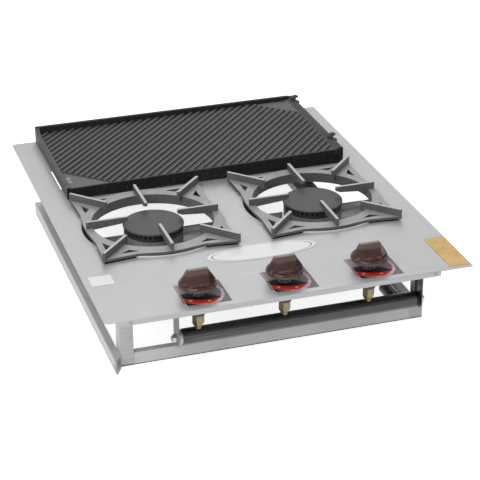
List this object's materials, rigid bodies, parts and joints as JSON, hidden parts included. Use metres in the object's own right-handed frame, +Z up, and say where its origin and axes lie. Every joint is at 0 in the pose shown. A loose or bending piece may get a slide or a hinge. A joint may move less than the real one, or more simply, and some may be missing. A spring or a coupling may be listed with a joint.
{
  "type": "drop-in gas cooktop",
  "caption": "Drop-in gas cooktop: steel worktop plate with ring burners under cast grates, a ribbed cast griddle, brown knobs on a front manifold, and an open base frame.",
  "frame": {"origin": "on the base frame's underside, under the middle of the worktop plate", "axes": "+X to the cook's right, +Y to the back, +Z up; the knobs are at the front, towards -Y"},
  "size_m": [0.6, 0.7378, 0.159],
  "materials": {
    "plate_steel": "brushed stainless sheet",
    "frame_steel": "mill-finish stainless bar",
    "dark_frame": "dark bar",
    "rivet_steel": "bright rivet",
    "bracket_steel": "bent sheet",
    "fastener_steel": "zinc plated",
    "manifold_black": "black satin paint",
    "griddle_iron": "black seasoned cast iron",
    "grate_iron": "grey cast iron",
    "burner_iron": "cast burner body",
    "cap_iron": "dark burner cap",
    "shutter_steel": "rolled sleeve",
    "inlet_black": "black iron nipple",
    "tap_brass": "machined brass",
    "seal_black": "sealing washer",
    "stem_steel": "turned steel",
    "collar_steel": "bright collar nut",
    "spring_steel": "spring wire",
    "knob_brown": "dark brown glossy moulding",
    "dial_print": "printed plate",
    "badge_print": "blank oval badge",
    "label_white": "blank white label",
    "label_amber": "blank amber label"
  },
  "bodies": {
    "base": {"top_plate": "plate_steel", "lip_rivets": "rivet_steel", "post_front_left": "frame_steel", "post_front_right": "frame_steel", "post_back_left": "frame_steel", "post_back_right": "frame_steel", "rail_front": "frame_steel", "rail_back": "frame_steel", "rail_left": "frame_steel", "rail_right": "dark_frame", "burner_bridge": "bracket_steel", "griddle_runner_left": "bracket_steel", "griddle_runner_right": "bracket_steel", "burner_screws": "fastener_steel", "burner_body_left": "burner_iron", "burner_body_right": "burner_iron", "griddle_burner": "burner_iron", "manifold_pipe": "manifold_black", "manifold_plugs": "fastener_steel", "manifold_strap_left": "bracket_steel", "manifold_strap_right": "dark_frame", "strap_nuts": "fastener_steel", "gas_inlet": "inlet_black", "tap_washers": "seal_black", "collar_nuts": "collar_steel", "gas_jets": "tap_brass", "badge_plate": "badge_print", "rating_label": "label_white", "amber_label": "label_amber", "tap_body_left": "tap_brass", "tap_bonnet_left": "stem_steel", "dial_plate_left": "dial_print", "tap_body_middle": "tap_brass", "tap_bonnet_middle": "stem_steel", "dial_plate_middle": "dial_print", "tap_body_right": "tap_brass", "tap_bonnet_right": "stem_steel", "dial_plate_right": "dial_print"},
    "tap_turn_left": {"tap_plug_left": "tap_brass", "tap_spring_left": "spring_steel"},
    "tap_push_left": {"tap_stem_left": "stem_steel", "knob_left": "knob_brown"},
    "shutter_left": {"air_shutter_left": "shutter_steel"},
    "tap_turn_middle": {"tap_plug_middle": "tap_brass", "tap_spring_middle": "spring_steel"},
    "tap_push_middle": {"tap_stem_middle": "stem_steel", "knob_middle": "knob_brown"},
    "shutter_middle": {"air_shutter_middle": "shutter_steel"},
    "tap_turn_right": {"tap_plug_right": "tap_brass", "tap_spring_right": "spring_steel"},
    "tap_push_right": {"tap_stem_right": "stem_steel", "knob_right": "knob_brown"},
    "shutter_right": {"air_shutter_right": "shutter_steel"},
    "grate_lift_left": {"grate_left": "grate_iron"},
    "cap_lift_left": {"burner_cap_left": "cap_iron"},
    "grate_lift_right": {"grate_right": "grate_iron"},
    "cap_lift_right": {"burner_cap_right": "cap_iron"},
    "griddle_lift": {"griddle": "griddle_iron"}
  },
  "joints": [
    {"name": "knob_turn_left", "type": "hinge", "parent": "base", "child": "tap_turn_left", "pos_m": [-0.1415, -0.3205, 0.115], "axis": [0, 0, 1], "range_deg": [0, 180]},
    {"name": "knob_press_left", "type": "slide", "parent": "tap_turn_left", "child": "tap_push_left", "axis": [0, 0, -1], "range_m": [0, 0.003], "stiffness_N_per_m": 800, "springref_m": -0.004, "deforming": ["tap_spring_left"]},
    {"name": "shutter_turn_left", "type": "hinge", "parent": "base", "child": "shutter_left", "pos_m": [-0.1415, -0.2775, 0.091], "axis": [0, 1, 0], "range_deg": [0, 40]},
    {"name": "knob_turn_middle", "type": "hinge", "parent": "base", "child": "tap_turn_middle", "pos_m": [0, -0.3205, 0.115], "axis": [0, 0, 1], "range_deg": [0, 180]},
    {"name": "knob_press_middle", "type": "slide", "parent": "tap_turn_middle", "child": "tap_push_middle", "axis": [0, 0, -1], "range_m": [0, 0.003], "stiffness_N_per_m": 800, "springref_m": -0.004, "deforming": ["tap_spring_middle"]},
    {"name": "shutter_turn_middle", "type": "hinge", "parent": "base", "child": "shutter_middle", "pos_m": [0, -0.2775, 0.091], "axis": [0, 1, 0], "range_deg": [0, 40]},
    {"name": "knob_turn_right", "type": "hinge", "parent": "base", "child": "tap_turn_right", "pos_m": [0.1415, -0.3205, 0.115], "axis": [0, 0, 1], "range_deg": [0, 180]},
    {"name": "knob_press_right", "type": "slide", "parent": "tap_turn_right", "child": "tap_push_right", "axis": [0, 0, -1], "range_m": [0, 0.003], "stiffness_N_per_m": 800, "springref_m": -0.004, "deforming": ["tap_spring_right"]},
    {"name": "shutter_turn_right", "type": "hinge", "parent": "base", "child": "shutter_right", "pos_m": [0.1415, -0.2775, 0.091], "axis": [0, 1, 0], "range_deg": [0, 40]},
    {"name": "grate_lift_off_left", "type": "slide", "parent": "base", "child": "grate_lift_left", "axis": [0, 0, 1], "range_m": [0, 0.08]},
    {"name": "cap_lift_off_left", "type": "slide", "parent": "base", "child": "cap_lift_left", "axis": [0, 0, 1], "range_m": [0, 0.04]},
    {"name": "grate_lift_off_right", "type": "slide", "parent": "base", "child": "grate_lift_right", "axis": [0, 0, 1], "range_m": [0, 0.08]},
    {"name": "cap_lift_off_right", "type": "slide", "parent": "base", "child": "cap_lift_right", "axis": [0, 0, 1], "range_m": [0, 0.04]},
    {"name": "griddle_lift_off", "type": "slide", "parent": "base", "child": "griddle_lift", "axis": [0, 0, 1], "range_m": [0, 0.08]}
  ],
  "couplings": [
    {"joint": "cap_lift_off_left", "follows": "grate_lift_off_left", "ratio": 0.5},
    {"joint": "cap_lift_off_right", "follows": "grate_lift_off_right", "ratio": 0.5}
  ]
}
